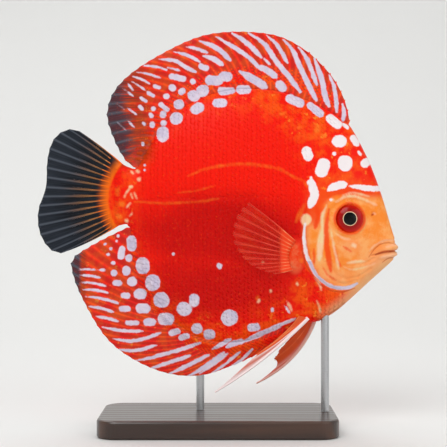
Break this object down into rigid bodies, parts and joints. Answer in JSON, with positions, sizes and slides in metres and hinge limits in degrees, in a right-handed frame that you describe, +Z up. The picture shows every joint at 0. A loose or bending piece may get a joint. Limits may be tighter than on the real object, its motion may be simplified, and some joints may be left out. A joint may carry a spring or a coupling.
{
  "type": "discus fish model",
  "caption": "Life-size model of a tall, flat-sided discus fish with spread fins, held level over a flat wooden base by short metal rods.",
  "frame": {"origin": "centre of the model's bounding box at the underside of the stand's base", "axes": "+X towards the fish's head, +Y towards the fish's left side, +Z up"},
  "size_m": [0.16, 0.056, 0.1771],
  "materials": {
    "head_skin": "wet orange skin with white spots, satin gloss",
    "body_skin": "wet vivid red skin with very fine scales, satin gloss",
    "long_fins": "red at the base with pale lilac spots and streaks, thin and rayed",
    "tail_web": "slate grey web between fine rays, slightly see-through",
    "pectoral_fins": "orange fleshy base, clear pinkish web with fine rays",
    "pelvic_fins": "orange-red web behind a pale leading ray",
    "eyes": "red iris with a pale ring and black pupil, high gloss",
    "stand_wood": "dark stained wood, satin lacquer",
    "stand_metal": "fine brushed steel"
  },
  "bodies": {
    "root": {"head": "head_skin", "trunk": "body_skin", "tail_stem": "body_skin", "dorsal_fin": "long_fins", "anal_fin": "long_fins", "tail_fin": "tail_web", "pectoral_fin_left": "pectoral_fins", "pectoral_fin_right": "pectoral_fins", "pelvic_fin_left": "pelvic_fins", "pelvic_fin_right": "pelvic_fins", "eye_left": "eyes", "eye_right": "eyes", "stand_base": "stand_wood", "stand_rod_front": "stand_metal", "stand_rod_rear": "stand_metal"}
  },
  "joints": []
}
